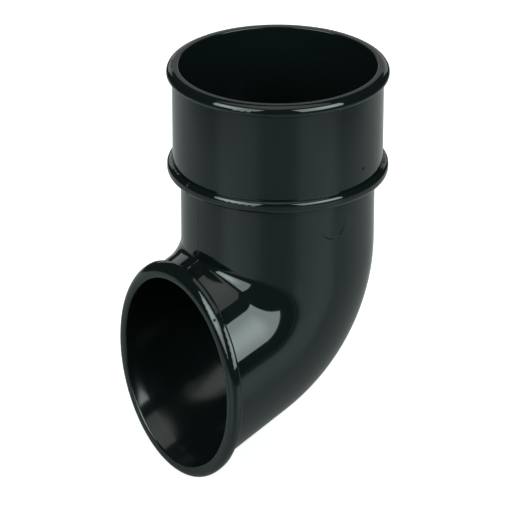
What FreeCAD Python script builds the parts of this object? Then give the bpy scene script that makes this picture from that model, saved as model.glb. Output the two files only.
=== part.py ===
import FreeCAD, Part
import os
import Sketcher
from FreeCAD import Placement, Rotation, Vector

# Downpipe shoe: a one-piece PVC-U moulding that ends a round rainwater downpipe.
# The socket takes the pipe from above, the neck carries on at the pipe's own diameter, the bend
# turns the water forward and the barrel throws it clear of the wall through a beaded mouth.
# Frame: origin on the socket's axis at the seat where the pipe's end rests, +Z up the pipe,
# the mouth towards -Y, the wall of the house towards +Y.

node = "downpipe_shoe"

# Driving dimensions in millimetres and degrees.
sizes = {
    "pipe_diameter": 68.0,      # outside of the downpipe, and of the body that carries on its line
    "pipe_clearance": 0.5,      # gap all round the pipe in the socket
    "socket_depth": 36.8,       # seat to rim
    "socket_wall": 2.25,
    "lip_round": 0.4,           # inside the socket's rim
    "bead_proud": 1.95,         # how far the beads at the rim and foot stand off the socket
    "bead_root": 0.4,           # fillet under a bead, where it leaves its wall
    "rim_bead_width": 3.9,
    "rim_bead_over": 2.4,       # rounding of the rim bead's upper edge
    "rim_bead_under": 1.4,      # and of its lower edge
    "foot_bead_width": 4.7,
    "foot_bead_drop": 3.0,      # how far the foot bead reaches below the seat
    "foot_bead_over": 1.7,
    "foot_bead_under": 2.1,
    "body_wall": 2.25,
    "neck_length": 28.3,        # seat to the start of the bend
    "throat_radius": 1.0,       # inside of the bend, in the plane of symmetry
    "turn_angle": 67.5,         # from straight down towards the mouth
    "barrel_length": 24.75,     # end of the bend to the mouth's face, on the barrel's axis
    "mouth_lean": 0.5,          # how far the mouth's face leans back from upright
    "mouth_bead_proud": 2.3,    # how far the mouth's bead stands off the barrel
    "mouth_bead_width": 1.75,   # the bead behind its crown, along the barrel
    "mouth_nose": 2.6,          # the round front of the bead, from its crown to the mouth's face
    "mouth_bead_round": 0.95,   # rounding of the mouth bead's back edge
    "mouth_bead_root": 0.6,
    "mouth_lip_round": 0.8,     # rounding inside the mouth
}

# Sizes that follow from the driving ones, as expressions on the sheet.
body_r = "(sizes.pipe_diameter / 2)"
body_bore_r = f"({body_r} - sizes.body_wall)"
socket_bore_r = f"({body_r} + sizes.pipe_clearance)"
socket_r = f"({socket_bore_r} + sizes.socket_wall)"
seat = "0"
rim = "sizes.socket_depth"
bead_r = f"({socket_r} + sizes.bead_proud)"
rim_bead_low = "(sizes.socket_depth - sizes.rim_bead_width)"
foot_bead_low = "-sizes.foot_bead_drop"
foot_bead_high = "(sizes.foot_bead_width - sizes.foot_bead_drop)"
neck_end = "-sizes.neck_length"
bend_r = f"({body_r} + sizes.throat_radius)"
bend_reach = f"({bend_r} * (1 - cos(sizes.turn_angle)))"
bend_drop = f"(sizes.neck_length + {bend_r} * sin(sizes.turn_angle))"
# The barrel meets the mouth's face on the slant, which makes an oval of its round section.
slant = "(90 - sizes.turn_angle + sizes.mouth_lean)"
mouth_bead_r = f"({body_r} + sizes.mouth_bead_proud)"
# Roundings stop short of the walls and beads they are cut from.
lip_round = "min(sizes.lip_round; 0.3 * sizes.socket_wall)"
bead_root = "min(sizes.bead_root; 0.22 * sizes.bead_proud)"
rim_bead_over = "min(sizes.rim_bead_over; 0.62 * sizes.rim_bead_width)"
rim_bead_under = "min(sizes.rim_bead_under; 0.36 * sizes.rim_bead_width; 0.73 * sizes.bead_proud)"
foot_bead_over = "min(sizes.foot_bead_over; 0.4 * sizes.foot_bead_width; 0.9 * sizes.bead_proud)"
foot_bead_under = "min(sizes.foot_bead_under; 0.5 * sizes.foot_bead_width)"
mouth_nose = "min(sizes.mouth_nose; 0.7 * (sizes.mouth_bead_proud + sizes.body_wall))"
mouth_bead_round = "min(sizes.mouth_bead_round; 0.45 * sizes.mouth_bead_proud; 0.55 * sizes.mouth_bead_width)"
mouth_bead_root = "min(sizes.mouth_bead_root; 0.3 * sizes.mouth_bead_proud)"
mouth_lip_round = "min(sizes.mouth_lip_round; 0.36 * sizes.body_wall)"
# Places on the barrel's axis, by how far they lie behind the mouth's face.
crown_back = f"({mouth_nose} / cos({slant}))"
bead_back = f"({crown_back} + sizes.mouth_bead_width)"
# Before it is cut at the mouth's crown, the barrel runs past by more than the slant takes off.
barrel_run = f"(sizes.barrel_length + sizes.pipe_diameter * tan({slant}))"
# Sections from the crown of the mouth's bead to its face, at even steps round the nose.
nose_steps = 4

# Names that a sketch constraint uses for the sketch's origin and for the points of a curve.
origin = (-1, 1)
start, end, centre = range(1, 4)


def make_sheet():
    page = doc.addObject("Spreadsheet::Sheet", "sizes")
    for row, (name, value) in enumerate(sizes.items(), 1):
        page.set(f"A{row}", name)
        page.set(f"B{row}", str(value))
        page.setAlias(f"B{row}", name)
    doc.recompute()
    return page


def value_of(text):
    result = sheet.evalExpression(text)
    return float(getattr(result, "Value", result))


def bind(item, expressions):
    for name, text in expressions.items():
        item.setExpression(name, text)


def limit(sketch, text, kind, *points):
    # Adds a dimension whose value is an expression on the sheet.
    index = sketch.addConstraint(Sketcher.Constraint(kind, *points, value_of(text)))
    sketch.setExpression(f"Constraints[{index}]", text)


def pin_point(sketch, curve, point, x_text, y_text):
    limit(sketch, x_text, "DistanceX", *origin, curve, point)
    limit(sketch, y_text, "DistanceY", *origin, curve, point)


def sketch_on(name, role, place=None):
    # A sketch on one of the body's origin planes, moved and tipped about its own X by expressions.
    plane = [item for item in body.Origin.OriginFeatures if item.Role == role][0]
    sketch = body.newObject("Sketcher::SketchObject", name)
    sketch.AttachmentSupport = [(plane, "")]
    sketch.MapMode = "FlatFace"
    if place:
        sketch.AttachmentOffset = Placement(Vector(), Rotation(Vector(-1, 0, 0), 1.0))
        bind(sketch, {f"AttachmentOffset.{key}": text for key, text in place.items()})
    return sketch


def section_sketch(name, corners):
    # A closed outline of straight sides in the plane of symmetry.
    sketch = sketch_on(name, "YZ_Plane")
    places = [Vector(value_of(x), value_of(y), 0) for x, y in corners]
    count = len(corners)
    for i in range(count):
        sketch.addGeometry(Part.LineSegment(places[i], places[(i + 1) % count]))
    for i, (x_text, y_text) in enumerate(corners):
        sketch.addConstraint(Sketcher.Constraint("Coincident", i, end, (i + 1) % count, start))
        pin_point(sketch, i, start, x_text, y_text)
    doc.recompute()
    return sketch


def draw_circle(sketch, radius):
    circle = sketch.addGeometry(Part.Circle(Vector(), Vector(0, 0, 1), value_of(radius)))
    sketch.addConstraint(Sketcher.Constraint("Coincident", circle, centre, *origin))
    limit(sketch, radius, "Radius", circle)


def bend_sketch(name, radius):
    # The round section at the foot of the neck, with the level line that it swings about.
    sketch = sketch_on(name, "XY_Plane", {"Base.z": neck_end, "Rotation.Angle": "0"})
    draw_circle(sketch, radius)
    left = Vector(-value_of(body_r), -value_of(bend_r), 0)
    right = Vector(value_of(body_r), -value_of(bend_r), 0)
    swing = sketch.addGeometry(Part.LineSegment(left, right), True)
    pin_point(sketch, swing, start, f"-{body_r}", f"-{bend_r}")
    pin_point(sketch, swing, end, body_r, f"-{bend_r}")
    doc.recompute()
    return sketch


def barrel_sketch(name, radius):
    # The same section where the bend ends, square to the barrel's axis.
    place = {"Base.y": f"-{bend_reach}", "Base.z": f"-{bend_drop}", "Rotation.Angle": "sizes.turn_angle"}
    sketch = sketch_on(name, "XY_Plane", place)
    draw_circle(sketch, radius)
    doc.recompute()
    return sketch


def reach_at(back):
    return f"({bend_reach} + (sizes.barrel_length - {back}) * sin(sizes.turn_angle))"


def drop_at(back):
    return f"({bend_drop} + (sizes.barrel_length - {back}) * cos(sizes.turn_angle))"


def mouth_sketch(name, back):
    # An empty sketch on the mouth's slant, with its origin on the barrel's axis.
    place = {"Base.y": f"-{drop_at(back)}", "Base.z": reach_at(back), "Rotation.Angle": "sizes.mouth_lean"}
    return sketch_on(name, "XZ_Plane", place)


def mouth_oval(name, radius, back):
    # The slanted cut of a round of that radius about the barrel's axis.
    sketch = mouth_sketch(name, back)
    radius_tall = f"({radius} / cos({slant}))"
    tall = Vector(0, value_of(radius_tall), 0)
    wide = Vector(value_of(radius), 0, 0)
    oval = sketch.addGeometry(Part.Ellipse(tall, wide, Vector()))
    sketch.exposeInternalGeometry(oval)
    long_axis = oval + 1
    short_axis = oval + 2
    sketch.addConstraint(Sketcher.Constraint("Coincident", oval, centre, *origin))
    sketch.addConstraint(Sketcher.Constraint("Vertical", long_axis))
    limit(sketch, f"2 * {radius_tall}", "Distance", long_axis, start, long_axis, end)
    limit(sketch, f"2 * {radius}", "Distance", short_axis, start, short_axis, end)
    doc.recompute()
    return sketch


def nose_section(step):
    angle = 90 * step / nose_steps
    radius = f"({mouth_bead_r} - {mouth_nose} * (1 - cos({angle})))"
    return mouth_oval(f"nose_section_{step}", radius, f"({crown_back} * (1 - sin({angle})))")


def add_feature(kind, name, settings, expressions=None):
    # Adds one step to the body. A step that should add or cut and does not is an error.
    before = body.Shape.Volume if body.Tip else 0.0
    feature = body.newObject(f"PartDesign::{kind}", name)
    for key, value in settings.items():
        setattr(feature, key, value)
    bind(feature, expressions or {})
    doc.recompute()
    change = feature.Shape.Volume - before
    if kind in ("Revolution", "Pad", "AdditiveLoft") and change < 1.0:
        raise RuntimeError(f"{name} adds nothing")
    if kind in ("Groove", "Pocket") and change > -1.0:
        raise RuntimeError(f"{name} cuts nothing")
    return feature


def round_edges(name, wanted, radius):
    # Fillets those edges of the body so far whose curve passes the test.
    base = body.Tip
    edges = [f"Edge{i}" for i, edge in enumerate(base.Shape.Edges, 1) if wanted(edge.Curve)]
    if not edges:
        raise RuntimeError(f"{name} finds no edge")
    return add_feature("Fillet", name, {"Base": (base, edges)}, {"Radius": radius})


def is_ring(radius, height):
    # A test for the level circle of that radius at that height on the socket's axis.
    def test(curve):
        if curve.TypeId != "Part::GeomCircle" or abs(curve.Axis.z) < 0.999:
            return False
        return abs(curve.Radius - value_of(radius)) < 1e-4 and abs(curve.Center.z - value_of(height)) < 1e-4
    return test


def is_slanted_cut(radius, back):
    # A test for the slanted cut of a round about the barrel's axis, that far behind the mouth's face.
    def test(curve):
        if curve.TypeId != "Part::GeomEllipse" or abs(curve.MinorRadius - value_of(radius)) > 1e-4:
            return False
        middle = Vector(0, -value_of(reach_at(back)), -value_of(drop_at(back)))
        return curve.Center.distanceToPoint(middle) < 1e-4
    return test


def any_of(*tests):
    return lambda curve: any(test(curve) for test in tests)


doc = FreeCAD.newDocument(node)
sheet = make_sheet()
body = doc.addObject("PartDesign::Body", node)
body.Label = node
doc.recompute()

# Outside, filled solid: socket with its two beads, neck, bend and barrel.
socket_outline = section_sketch("socket_outline", [
    ("0", neck_end),
    (body_r, neck_end),
    (body_r, foot_bead_low),
    (bead_r, foot_bead_low),
    (bead_r, foot_bead_high),
    (socket_r, foot_bead_high),
    (socket_r, rim_bead_low),
    (bead_r, rim_bead_low),
    (bead_r, rim),
    ("0", rim),
])
add_feature("Revolution", "socket_and_neck", {
    "Profile": socket_outline,
    "ReferenceAxis": (socket_outline, ["V_Axis"]),
    "Angle": 360.0,
})
bend_round = bend_sketch("bend_round", body_r)
add_feature("Revolution", "bend", {
    "Profile": bend_round,
    "ReferenceAxis": (bend_round, ["Axis0"]),
    "Reversed": True,
}, {"Angle": "sizes.turn_angle"})
barrel_round = barrel_sketch("barrel_round", body_r)
add_feature("Pad", "barrel", {"Profile": barrel_round, "Reversed": True}, {"Length": barrel_run})

# The mouth: the barrel is cut near upright at the crown of its bead, which follows the barrel behind
# the cut and rounds off to the mouth's face before it.
mouth_crown = mouth_sketch("mouth_crown", crown_back)
draw_circle(mouth_crown, "sizes.pipe_diameter")
doc.recompute()
add_feature("Pocket", "mouth_cut", {"Profile": mouth_crown, "Type": "ThroughAll", "Reversed": True})
bead_oval = mouth_oval("bead_oval", mouth_bead_r, crown_back)
add_feature("Pad", "mouth_bead", {
    "Profile": bead_oval,
    "UseCustomVector": True,
    "AlongSketchNormal": False,
    "Direction": Vector(0, 1, 1),
}, {
    "Direction.y": "sin(sizes.turn_angle)",
    "Direction.z": "cos(sizes.turn_angle)",
    "Length": "sizes.mouth_bead_width",
})
nose_sections = [nose_section(step) for step in range(nose_steps + 1)]
add_feature("AdditiveLoft", "mouth_nose", {"Profile": nose_sections[0], "Sections": nose_sections[1:]})

# Inside: the socket's bore down to the seat, then one waterway of even wall through to the mouth.
bore_outline = section_sketch("bore_outline", [
    ("0", neck_end),
    (body_bore_r, neck_end),
    (body_bore_r, seat),
    (socket_bore_r, seat),
    (socket_bore_r, rim),
    ("0", rim),
])
add_feature("Groove", "socket_bore", {
    "Profile": bore_outline,
    "ReferenceAxis": (bore_outline, ["V_Axis"]),
    "Angle": 360.0,
})
bend_hole = bend_sketch("bend_hole", body_bore_r)
add_feature("Groove", "bend_bore", {
    "Profile": bend_hole,
    "ReferenceAxis": (bend_hole, ["Axis0"]),
    "Reversed": True,
}, {"Angle": "sizes.turn_angle"})
barrel_hole = barrel_sketch("barrel_hole", body_bore_r)
add_feature("Pocket", "barrel_bore", {"Profile": barrel_hole, "Type": "ThroughAll"})

# Moulded roundings.
round_edges("rim_bead_over", is_ring(bead_r, rim), rim_bead_over)
round_edges("rim_bead_under", is_ring(bead_r, rim_bead_low), rim_bead_under)
round_edges("foot_bead_over", is_ring(bead_r, foot_bead_high), foot_bead_over)
round_edges("foot_bead_under", is_ring(bead_r, foot_bead_low), foot_bead_under)
round_edges("bead_roots", any_of(is_ring(socket_r, rim_bead_low), is_ring(body_r, foot_bead_low)), bead_root)
round_edges("socket_lip", is_ring(socket_bore_r, rim), lip_round)
round_edges("mouth_bead_back", is_slanted_cut(mouth_bead_r, bead_back), mouth_bead_round)
round_edges("mouth_bead_root", is_slanted_cut(body_r, bead_back), mouth_bead_root)
round_edges("mouth_lip", is_slanted_cut(body_bore_r, "0"), mouth_lip_round)

for item in doc.Objects:
    if "Invalid" in item.State or "Error" in item.State:
        raise RuntimeError(f"{item.Name} is {item.State}")
    if item.isDerivedFrom("PartDesign::Feature") and (item.Shape.isNull() or not item.Shape.isValid()):
        raise RuntimeError(f"{item.Name} has no sound shape")
if len(body.Shape.Solids) != 1:
    raise RuntimeError(f"{node} has {len(body.Shape.Solids)} solids")

os.makedirs("parts", exist_ok=True)
body.Shape.exportStep(f"parts/{node}.step")
box = body.Shape.optimalBoundingBox(False)
print(f"{node}: {box.XLength:.2f} x {box.YLength:.2f} x {box.ZLength:.2f} mm, {body.Shape.Volume:.0f} mm3")
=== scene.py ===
import math
import bmesh
import bpy
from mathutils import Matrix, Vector


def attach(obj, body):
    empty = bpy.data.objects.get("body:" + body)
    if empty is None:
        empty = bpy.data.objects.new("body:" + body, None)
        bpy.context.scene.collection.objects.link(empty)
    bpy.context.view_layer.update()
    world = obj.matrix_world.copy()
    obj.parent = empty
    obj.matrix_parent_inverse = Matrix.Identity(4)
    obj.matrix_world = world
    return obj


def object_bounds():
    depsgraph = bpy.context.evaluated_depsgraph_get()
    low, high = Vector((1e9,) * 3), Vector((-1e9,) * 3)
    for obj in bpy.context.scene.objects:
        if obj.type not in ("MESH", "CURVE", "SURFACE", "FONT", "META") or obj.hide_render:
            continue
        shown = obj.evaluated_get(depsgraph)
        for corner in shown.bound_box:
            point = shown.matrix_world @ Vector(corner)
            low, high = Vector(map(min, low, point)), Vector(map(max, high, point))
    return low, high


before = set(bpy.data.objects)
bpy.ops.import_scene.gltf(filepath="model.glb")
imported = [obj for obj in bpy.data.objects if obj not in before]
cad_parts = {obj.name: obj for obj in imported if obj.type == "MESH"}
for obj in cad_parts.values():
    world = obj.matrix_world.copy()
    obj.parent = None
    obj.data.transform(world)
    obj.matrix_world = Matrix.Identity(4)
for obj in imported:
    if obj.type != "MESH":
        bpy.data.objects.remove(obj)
cadLow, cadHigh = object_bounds()
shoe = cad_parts["downpipe_shoe"]
print("downpipe shoe loaded", [round(v * 1000, 1) for v in cadHigh - cadLow], "mm")


def addNode(tree, kind, inputs=None, **settings):
    node = tree.nodes.new(kind)
    for name, value in settings.items():
        setattr(node, name, value)
    for name, value in (inputs or {}).items():
        node.inputs[name].default_value = value
    return node


def combine(tree, operation, first, second, **settings):
    node = addNode(tree, "ShaderNodeMath", operation=operation, **settings)
    tree.links.new(first, node.inputs[0])
    tree.links.new(second, node.inputs[1])
    return node.outputs[0]


def addScaled(tree, mask, amount, base):
    # base plus that amount of the mask
    node = addNode(tree, "ShaderNodeMath", {1: amount}, operation="MULTIPLY_ADD")
    tree.links.new(mask, node.inputs[0])
    tree.links.new(base, node.inputs[2])
    return node.outputs[0]


def newMaterial(name):
    mat = bpy.data.materials.new(name)
    mat.use_nodes = True
    mat.node_tree.nodes.clear()
    out = addNode(mat.node_tree, "ShaderNodeOutputMaterial")
    shader = addNode(mat.node_tree, "ShaderNodeBsdfPrincipled")
    mat.node_tree.links.new(shader.outputs["BSDF"], out.inputs["Surface"])
    return mat, shader


def makePiece(name, mesh, mat):
    # finished bmesh -> object at the origin
    data = bpy.data.meshes.new(name)
    mesh.to_mesh(data)
    mesh.free()
    data.materials.append(mat)
    piece = bpy.data.objects.new(name, data)
    bpy.context.scene.collection.objects.link(piece)
    return piece


def lookDirection(azimuth, elevation):
    # unit vector from the shoe, round from its front and up from level
    a, e = math.radians(azimuth), math.radians(elevation)
    return Vector((math.sin(a) * math.cos(e), -math.cos(a) * math.cos(e), math.sin(e)))


# black gloss PVC-U, duller inside where the core stood
pvc = {
    "black": (0.0026, 0.0056, 0.0052, 1),
    "greyerBlack": (0.0036, 0.0068, 0.0063, 1),
    "roughness": (0.035, 0.07),
    "insideRoughness": 0.14,
    "ior": 1.53,
    "specularTint": (0.84, 1.0, 0.985, 1),
    "cloud": {"Scale": 45, "Detail": 4, "Roughness": 0.55},
    "cloudSpan": (0.3, 0.7),          # of the noise, over which the gloss changes
    "flow": {"Scale": 1, "Detail": 2, "Roughness": 0.4},
    "flowStretch": (75, 75, 7),       # melt flow, drawn out along the pipe
    "flowHeight": 0.00005,
    "insideEdge": 0.0002,
    "socketInside": {"place": (0, 0, 0), "tip": 0, "radius": 0.0349, "fade": (-0.0005, 0.0005)},
    "barrelInside": {"place": (0, -0.02161, -0.06064), "tip": -67.5, "radius": 0.0329,
                     "fade": (0.011, 0.002)},
    # the barrel's slight opening towards its lip: places along y, and height in those of the flow waves
    "lipTaper": {"lip": -0.0436, "crest": -0.0389, "end": 0, "height": 3.2},
    "specks": [(0.0351, 0.01084, 0.00743), (0.0232, -0.0432, -0.0402)],
    "speckSize": 0.0007,
    "speckRoughness": 0.5,
    "speckMetallic": 0.75,            # grit without the plastic's sheen, so it stays dark
    "speckDepth": 1.2,                # in heights of the flow waves
}


def insideMask(tree, coords, bore):
    # 1 within a round bore, with its axis turned to Z and its near end faded
    turn = addNode(tree, "ShaderNodeMapping", {
        "Location": bore["place"], "Rotation": (math.radians(bore["tip"]), 0, 0)}, vector_type="TEXTURE")
    tree.links.new(coords.outputs["Object"], turn.inputs["Vector"])
    flat = addNode(tree, "ShaderNodeVectorMath", {1: (1, 1, 0)}, operation="MULTIPLY")
    tree.links.new(turn.outputs["Vector"], flat.inputs[0])
    reach = addNode(tree, "ShaderNodeVectorMath", operation="LENGTH")
    tree.links.new(flat.outputs["Vector"], reach.inputs[0])
    near = addNode(tree, "ShaderNodeMapRange", {
        "From Min": bore["radius"] + pvc["insideEdge"], "From Max": bore["radius"] - pvc["insideEdge"]})
    tree.links.new(reach.outputs["Value"], near.inputs["Value"])
    parts = addNode(tree, "ShaderNodeSeparateXYZ")
    tree.links.new(turn.outputs["Vector"], parts.inputs["Vector"])
    along = addNode(tree, "ShaderNodeMapRange", {"From Min": bore["fade"][0], "From Max": bore["fade"][1]})
    tree.links.new(parts.outputs["Z"], along.inputs["Value"])
    return combine(tree, "MULTIPLY", near.outputs["Result"], along.outputs["Result"])


def speckMask(tree, coords, place):
    reach = addNode(tree, "ShaderNodeVectorMath", {1: place}, operation="DISTANCE")
    tree.links.new(coords.outputs["Object"], reach.inputs[0])
    near = addNode(tree, "ShaderNodeMapRange", {
        "From Min": pvc["speckSize"], "From Max": pvc["speckSize"] / 2})
    tree.links.new(reach.outputs["Value"], near.inputs["Value"])
    return near.outputs["Result"]


def lipMask(tree, coords, barrel):
    # rises from the mouth's lip inwards to a low crest, then falls back slowly
    parts = addNode(tree, "ShaderNodeSeparateXYZ")
    tree.links.new(coords.outputs["Object"], parts.inputs["Vector"])
    mask = barrel
    taper = pvc["lipTaper"]
    for foot in ("lip", "end"):
        ramp = addNode(tree, "ShaderNodeMapRange", {"From Min": taper[foot], "From Max": taper["crest"]},
                       interpolation_type="SMOOTHSTEP")
        tree.links.new(parts.outputs["Y"], ramp.inputs["Value"])
        mask = combine(tree, "MULTIPLY", mask, ramp.outputs["Result"])
    return mask


def mixValue(tree, mask, plain, changed):
    mix = addNode(tree, "ShaderNodeMix", {"B": changed}, data_type="FLOAT")
    tree.links.new(mask, mix.inputs["Factor"])
    tree.links.new(plain, mix.inputs["A"])
    return mix.outputs["Result"]


def makePvc():
    mat, shader = newMaterial("blackPvc")
    tree = mat.node_tree
    shader.inputs["IOR"].default_value = pvc["ior"]
    shader.inputs["Specular Tint"].default_value = pvc["specularTint"]
    coords = addNode(tree, "ShaderNodeTexCoord")

    # slow change of colour and gloss over the moulding
    cloud = addNode(tree, "ShaderNodeTexNoise", pvc["cloud"])
    tree.links.new(coords.outputs["Object"], cloud.inputs["Vector"])
    tint = addNode(tree, "ShaderNodeMix", data_type="RGBA")
    tint.inputs["A"].default_value = pvc["black"]
    tint.inputs["B"].default_value = pvc["greyerBlack"]
    tree.links.new(cloud.outputs["Fac"], tint.inputs["Factor"])
    tree.links.new(tint.outputs["Result"], shader.inputs["Base Color"])
    gloss = addNode(tree, "ShaderNodeMapRange", {
        "From Min": pvc["cloudSpan"][0], "From Max": pvc["cloudSpan"][1],
        "To Min": pvc["roughness"][0], "To Max": pvc["roughness"][1]})
    tree.links.new(cloud.outputs["Fac"], gloss.inputs["Value"])
    socket, barrel = [insideMask(tree, coords, pvc[bore]) for bore in ("socketInside", "barrelInside")]
    inside = combine(tree, "MAXIMUM", socket, barrel)
    specks = combine(tree, "MAXIMUM", *[speckMask(tree, coords, place) for place in pvc["specks"]])
    dulled = mixValue(tree, inside, gloss.outputs["Result"], pvc["insideRoughness"])
    tree.links.new(mixValue(tree, specks, dulled, pvc["speckRoughness"]), shader.inputs["Roughness"])
    grit = addNode(tree, "ShaderNodeMath", {1: pvc["speckMetallic"]}, operation="MULTIPLY")
    tree.links.new(specks, grit.inputs[0])
    tree.links.new(grit.outputs[0], shader.inputs["Metallic"])

    # faint waves down the walls, the specks as pits, and the barrel's slight opening at its lip
    stretch = addNode(tree, "ShaderNodeMapping", {"Scale": pvc["flowStretch"]})
    tree.links.new(coords.outputs["Object"], stretch.inputs["Vector"])
    flow = addNode(tree, "ShaderNodeTexNoise", pvc["flow"])
    tree.links.new(stretch.outputs["Vector"], flow.inputs["Vector"])
    pitted = addScaled(tree, specks, -pvc["speckDepth"], flow.outputs["Fac"])
    opened = addScaled(tree, lipMask(tree, coords, barrel), pvc["lipTaper"]["height"], pitted)
    wave = addNode(tree, "ShaderNodeBump", {"Strength": 1, "Distance": pvc["flowHeight"]})
    tree.links.new(opened, wave.inputs["Height"])
    tree.links.new(wave.outputs["Normal"], shader.inputs["Normal"])
    return mat


pvcMat = makePvc()
shoe.material_slots[0].material = pvcMat
print("black PVC-U on the shoe")


mergeGap = 1e-7


def finishMark(name, mesh):
    bmesh.ops.remove_doubles(mesh, verts=mesh.verts, dist=mergeGap)
    bmesh.ops.recalc_face_normals(mesh, faces=mesh.faces)
    for face in mesh.faces:
        face.smooth = True
    piece = makePiece(name, mesh, pvcMat)
    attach(piece, "root")
    print(name, len(piece.data.polygons), "faces")


# mould parting line down the front: over the foot bead, down the neck, round the throat, along the barrel
partingLine = {
    "width": 0.00055,
    "proud": 0.00012,
    "beadR": 0.0387,
    "beadHigh": 0.0017,
    "beadOver": 0.0017,               # rounding of the foot bead's upper edge
    "beadLow": -0.0030,
    "beadUnder": 0.0021,              # and of its lower edge
    "bodyR": 0.034,
    "beadRoot": 0.0004,
    "neckEnd": -0.0283,
    "throatR": 0.0010,
    "turn": 67.5,
    "barrelRun": 0.0066,              # throat to just inside the mouth's bead
    "sides": 24,
    "turnSteps": 10,
}


def roundSection(mesh, width, proud, place):
    # closed round section of a low moulded line that stands proud of its wall by that much and that wide
    radius = (width ** 2 / 4 + proud ** 2) / (2 * proud)
    verts = bmesh.ops.create_circle(mesh, segments=partingLine["sides"], radius=radius)["verts"]
    for vert in verts:
        vert.co = place(vert.co.x, vert.co.y + proud - radius)
    return mesh.edges[:]


def sweepTurn(mesh, ring, y, z, turn):
    # carries the section round a level line across the shoe
    verts = {vert for edge in ring for vert in edge.verts}
    made = bmesh.ops.spin(mesh, geom=list(verts) + ring, cent=(0, y, z), axis=(1, 0, 0),
                          angle=math.radians(turn), steps=partingLine["turnSteps"])
    return [item for item in made["geom_last"] if isinstance(item, bmesh.types.BMEdge)]


def sweepStraight(mesh, ring, step):
    made = bmesh.ops.extrude_edge_only(mesh, edges=ring)["geom"]
    verts = [item for item in made if isinstance(item, bmesh.types.BMVert)]
    bmesh.ops.translate(mesh, verts=verts, vec=step)
    return [item for item in made if isinstance(item, bmesh.types.BMEdge) and set(item.verts) <= set(verts)]


def makePartingLine():
    p = partingLine
    mesh = bmesh.new()
    overY, overZ = p["beadOver"] - p["beadR"], p["beadHigh"] - p["beadOver"]
    underY, underZ = p["beadUnder"] - p["beadR"], p["beadLow"] + p["beadUnder"]
    rootY, rootZ = -p["bodyR"] - p["beadRoot"], p["beadLow"] - p["beadRoot"]
    ring = roundSection(mesh, p["width"], p["proud"],
                        lambda across, out: (across, overY, p["beadHigh"] + out))
    bmesh.ops.edgeloop_fill(mesh, edges=ring)
    ring = sweepTurn(mesh, ring, overY, overZ, 90)
    ring = sweepStraight(mesh, ring, (0, 0, underZ - overZ))
    ring = sweepTurn(mesh, ring, underY, underZ, 90)
    ring = sweepStraight(mesh, ring, (0, rootY - underY, 0))
    ring = sweepTurn(mesh, ring, rootY, rootZ, -90)
    ring = sweepStraight(mesh, ring, (0, 0, p["neckEnd"] - rootZ))
    ring = sweepTurn(mesh, ring, -p["bodyR"] - p["throatR"], p["neckEnd"], -p["turn"])
    turn = math.radians(p["turn"])
    ring = sweepStraight(mesh, ring, Vector((0, -math.sin(turn), -math.cos(turn))) * p["barrelRun"])
    bmesh.ops.edgeloop_fill(mesh, edges=ring)
    finishMark("partingLine", mesh)


makePartingLine()


# plain round dish on the side of the neck: a step down to the bare wall, in a surround that fades out
neckDish = {
    "y": -0.0007,
    "z": -0.0118,
    "radius": 0.0046,
    "step": 0.00037,                  # width of the step
    "proud": 0.0001,
    "shoulder": (0.6, 0.85),          # where the step rounds over, in its width and height
    "fade": 0.0034,                   # width of the surround
    "fadeSteps": 8,
    "sink": 0.08,                     # of its height, how far under the wall the surround ends
    "footUnder": (0.0002, 0.00007),   # run and drop of the step's foot under the wall
    "edgeUnder": (0.001, 0.00006),    # and of the surround's edge
    "buried": 0.0004,
    "bodyR": 0.034,
    "spinSteps": 96,
}


def makeNeckDish():
    d = neckDish
    mesh = bmesh.new()
    crest = d["radius"] + d["step"]
    outer = crest + d["fade"]
    # closed section: foot of the step, its rounded crest, the surround's slow fall, both ends under the wall
    footRun, footDrop = d["footUnder"]
    profile = [(d["radius"] - footRun, -d["buried"]), (d["radius"] - footRun, -footDrop), (d["radius"], 0)]
    profile.append((d["radius"] + d["step"] * d["shoulder"][0], d["proud"] * d["shoulder"][1]))
    for i in range(d["fadeSteps"] + 1):
        share = i / d["fadeSteps"]
        fall = (1 - d["sink"] + (1 + d["sink"]) * math.cos(math.pi * share)) / 2
        profile.append((crest + d["fade"] * share, d["proud"] * fall))
    edgeRun, edgeDrop = d["edgeUnder"]
    profile += [(outer + edgeRun / 2, -edgeDrop / 2), (outer + edgeRun, -edgeDrop),
                (outer + edgeRun, -d["buried"])]
    verts = [mesh.verts.new((d["bodyR"] + out, d["y"], d["z"] + reach)) for reach, out in profile]
    edges = [mesh.edges.new((verts[i - 1], verts[i])) for i in range(len(verts))]
    bmesh.ops.spin(mesh, geom=verts + edges, cent=(0, d["y"], d["z"]), axis=(1, 0, 0),
                   angle=math.radians(360), steps=d["spinSteps"], use_merge=True)
    for vert in mesh.verts:           # wrapped round the neck
        vert.co.x += math.sqrt(d["bodyR"] ** 2 - vert.co.y ** 2) - d["bodyR"]
    finishMark("neckDish", mesh)


makeNeckDish()


# camera at the photograph's place
photoView = {
    "aim": (0.007183, -0.014380, -0.029823),
    "azimuth": 54.68,
    "elevation": 25.42,
    "distance": 1.29548,
    "lens": 260.65,
    "sensor": 36,
}


def makeCamera():
    data = bpy.data.cameras.new("photoCamera")
    data.lens = photoView["lens"]
    data.sensor_width = photoView["sensor"]
    camera = bpy.data.objects.new("photoCamera", data)
    back = lookDirection(photoView["azimuth"], photoView["elevation"])
    camera.location = Vector(photoView["aim"]) + back * photoView["distance"]
    camera.rotation_euler = (-back).to_track_quat("-Z", "Y").to_euler()
    bpy.context.scene.collection.objects.link(camera)
    bpy.context.scene.camera = camera


makeCamera()


def seenMask(tree):
    # 1 for what the camera sees, straight or through clear things
    path = addNode(tree, "ShaderNodeLightPath")
    return path, combine(tree, "MAXIMUM", path.outputs["Is Camera Ray"], path.outputs["Is Transmission Ray"])


def addGloss(tree, path, direct, share):
    # a little of the white in gloss as well
    return addScaled(tree, path.outputs["Is Glossy Ray"], share, direct)


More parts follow.
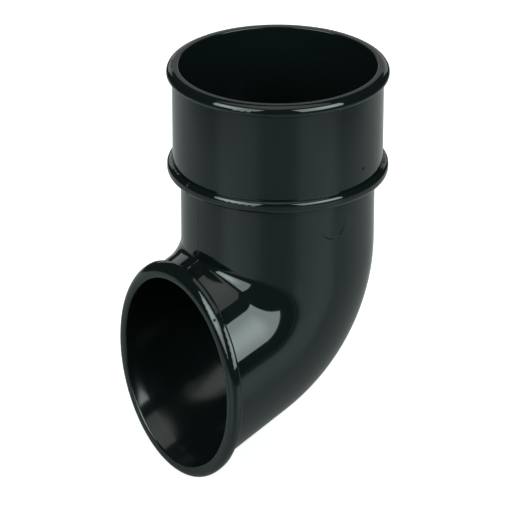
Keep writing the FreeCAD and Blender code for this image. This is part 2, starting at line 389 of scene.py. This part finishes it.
# floor: a pale satin disc, with painted light behind the shoe and painted shade before it and far out
floor = {
    "radius": 0.8,
    "sides": 96,
    "frontPaintedShade": (0.176, 0.198, 0.194, 1),
    "backPaintedLight": (0.60, 0.68, 0.665, 1),
    "farPaintedShade": (0.06, 0.066, 0.065, 1),
    "reach": 0.2,                     # each way from the shoe, from the painted shade in front to the painted light behind
    "far": (0.5, 0.69),               # where its painted shade starts and is darkest, from a point behind the shoe
    "behind": 0.14,
    "oval": 0.64,                     # its width for its depth, where it dims
    "roughness": 0.42,
    "ior": 1.34,
    "lift": (0.82, 1),                # its own paleness, as the camera sees it, near and far
    "glossShare": 0.02,
}


def makeFloor():
    mat, shader = newMaterial("paleFloor")
    tree = mat.node_tree
    shader.inputs["Roughness"].default_value = floor["roughness"]
    shader.inputs["IOR"].default_value = floor["ior"]
    shader.inputs["Emission Color"].default_value = (1, 1, 1, 1)

    # painted light and shade: brighter behind the shoe than before it, and darker far out
    coords = addNode(tree, "ShaderNodeTexCoord")
    centre = lookDirection(photoView["azimuth"] + 180, 0) * floor["behind"]
    turn = addNode(tree, "ShaderNodeMapping", {
        "Location": (centre.x, centre.y, cadLow.z), "Rotation": (0, 0, math.radians(photoView["azimuth"])),
        "Scale": (floor["oval"], 1, 1)}, vector_type="TEXTURE")
    tree.links.new(coords.outputs["Object"], turn.inputs["Vector"])
    parts = addNode(tree, "ShaderNodeSeparateXYZ")
    tree.links.new(turn.outputs["Vector"], parts.inputs["Vector"])
    away = addNode(tree, "ShaderNodeMapRange", {
        "From Min": -floor["reach"] - floor["behind"], "From Max": floor["reach"] - floor["behind"]})
    tree.links.new(parts.outputs["Y"], away.inputs["Value"])
    # painted light behind the shoe and painted shade before it, in the floor's colour
    near = addNode(tree, "ShaderNodeMix", data_type="RGBA")
    near.inputs["A"].default_value = floor["frontPaintedShade"]
    near.inputs["B"].default_value = floor["backPaintedLight"]
    tree.links.new(away.outputs["Result"], near.inputs["Factor"])
    reach = addNode(tree, "ShaderNodeVectorMath", operation="LENGTH")
    tree.links.new(turn.outputs["Vector"], reach.inputs[0])
    # painted shade: the floor's colour darkens far from the shoe
    dim = addNode(tree, "ShaderNodeMapRange", {"From Min": floor["far"][0], "From Max": floor["far"][1]})
    tree.links.new(reach.outputs["Value"], dim.inputs["Value"])
    shade = addNode(tree, "ShaderNodeMix", data_type="RGBA")
    shade.inputs["B"].default_value = floor["farPaintedShade"]
    tree.links.new(near.outputs["Result"], shade.inputs["A"])
    tree.links.new(dim.outputs["Result"], shade.inputs["Factor"])
    tree.links.new(shade.outputs["Result"], shader.inputs["Base Color"])

    # near white to the camera, with the shoe's shadow left in
    path, seen = seenMask(tree)
    lift = addNode(tree, "ShaderNodeMapRange", {"To Min": floor["lift"][0], "To Max": floor["lift"][1]})
    tree.links.new(dim.outputs["Result"], lift.inputs["Value"])
    direct = combine(tree, "MULTIPLY", seen, lift.outputs["Result"])
    strength = addGloss(tree, path, direct, floor["glossShare"])
    tree.links.new(strength, shader.inputs["Emission Strength"])
    # the satin sheen shows in the gloss of the shoe only, and ends where the floor dims
    sheen = combine(tree, "SUBTRACT", path.outputs["Is Glossy Ray"], dim.outputs["Result"], use_clamp=True)
    tree.links.new(sheen, shader.inputs["Specular IOR Level"])

    mesh = bmesh.new()
    bmesh.ops.create_circle(mesh, cap_ends=True, segments=floor["sides"], radius=floor["radius"])
    bmesh.ops.translate(mesh, verts=mesh.verts, vec=(0, 0, cadLow.z))
    makePiece("floor", mesh, mat)


makeFloor()
print("floor at", round(cadLow.z * 1000, 1), "mm")


# soft panels: two beside the camera, one overhead, a weak one behind the shoe
lights = {
    "target": (0.012, -0.015, -0.045),
    # azimuth is round from the camera to its right, spot and edge are brightness
    "panels": {
        "rightPanel": {"azimuth": 45.5, "elevation": 29, "distance": 1.0, "size": (0.82, 0.74),
                       "edge": 4.4, "spot": 7.5, "spotAt": (0.65, 0.5), "colour": (1, 1, 1)},
        "leftPanel": {"azimuth": -45.5, "elevation": 29, "distance": 1.0, "size": (0.82, 0.74),
                      "edge": 3.6, "spot": 7.5, "spotAt": (0.35, 0.5), "colour": (1, 1, 1)},
        "topPanel": {"azimuth": 0, "elevation": 90, "distance": 1.4, "size": (1.3, 1.3),
                     "edge": 0.92, "spot": 1.2, "spotAt": (0.5, 0.5), "colour": (1, 0.9, 0.87)},
        "backPanel": {"azimuth": 180, "elevation": 18, "distance": 1.0, "size": (1.2, 0.37),
                      "edge": 0.74, "spot": 0.34, "spotAt": (0.5, 1.0), "colour": (1, 1, 1)},
    },
    "fall": (0.05, 0.5),              # from a panel's spot to its edge, in shares of its size
    "room": 0.025,                    # dim room round the set
    "glossShare": 0.01,
}


def makePanel(name, panel):
    data = bpy.data.lights.new(name, "AREA")
    data.shape = "RECTANGLE"
    data.size, data.size_y = panel["size"]
    # an even panel's radiance is its power over pi and its area
    data.energy = math.pi * data.size * data.size_y
    data.color = panel["colour"]
    data.use_nodes = True
    tree = data.node_tree
    place = addNode(tree, "ShaderNodeNewGeometry")
    reach = addNode(tree, "ShaderNodeVectorMath", {1: (*panel["spotAt"], 0)}, operation="DISTANCE")
    tree.links.new(place.outputs["Parametric"], reach.inputs[0])
    fall = addNode(tree, "ShaderNodeMapRange", {
        "From Min": lights["fall"][0], "From Max": lights["fall"][1],
        "To Min": panel["spot"], "To Max": panel["edge"]}, interpolation_type="SMOOTHSTEP")
    tree.links.new(reach.outputs["Value"], fall.inputs["Value"])
    tree.links.new(fall.outputs["Result"], tree.nodes["Emission"].inputs["Strength"])
    lamp = bpy.data.objects.new(name, data)
    away = lookDirection(photoView["azimuth"] + panel["azimuth"], panel["elevation"])
    lamp.location = Vector(lights["target"]) + away * panel["distance"]
    lamp.rotation_euler = away.to_track_quat("Z", "Y").to_euler()
    lamp.visible_camera = False
    bpy.context.scene.collection.objects.link(lamp)


def makeWorld():
    world = bpy.data.worlds.new("studio")
    world.use_nodes = True
    tree = world.node_tree
    path, seen = seenMask(tree)
    direct = addNode(tree, "ShaderNodeMapRange", {"To Min": lights["room"], "To Max": 1})
    tree.links.new(seen, direct.inputs["Value"])
    back = tree.nodes["Background"]
    back.inputs["Color"].default_value = (1, 1, 1, 1)
    strength = addGloss(tree, path, direct.outputs["Result"], lights["glossShare"])
    tree.links.new(strength, back.inputs["Strength"])
    bpy.context.scene.world = world


for panelName, panelSettings in lights["panels"].items():
    makePanel(panelName, panelSettings)
makeWorld()
bpy.context.scene.view_settings.view_transform = "Standard"
print("camera and lights set")
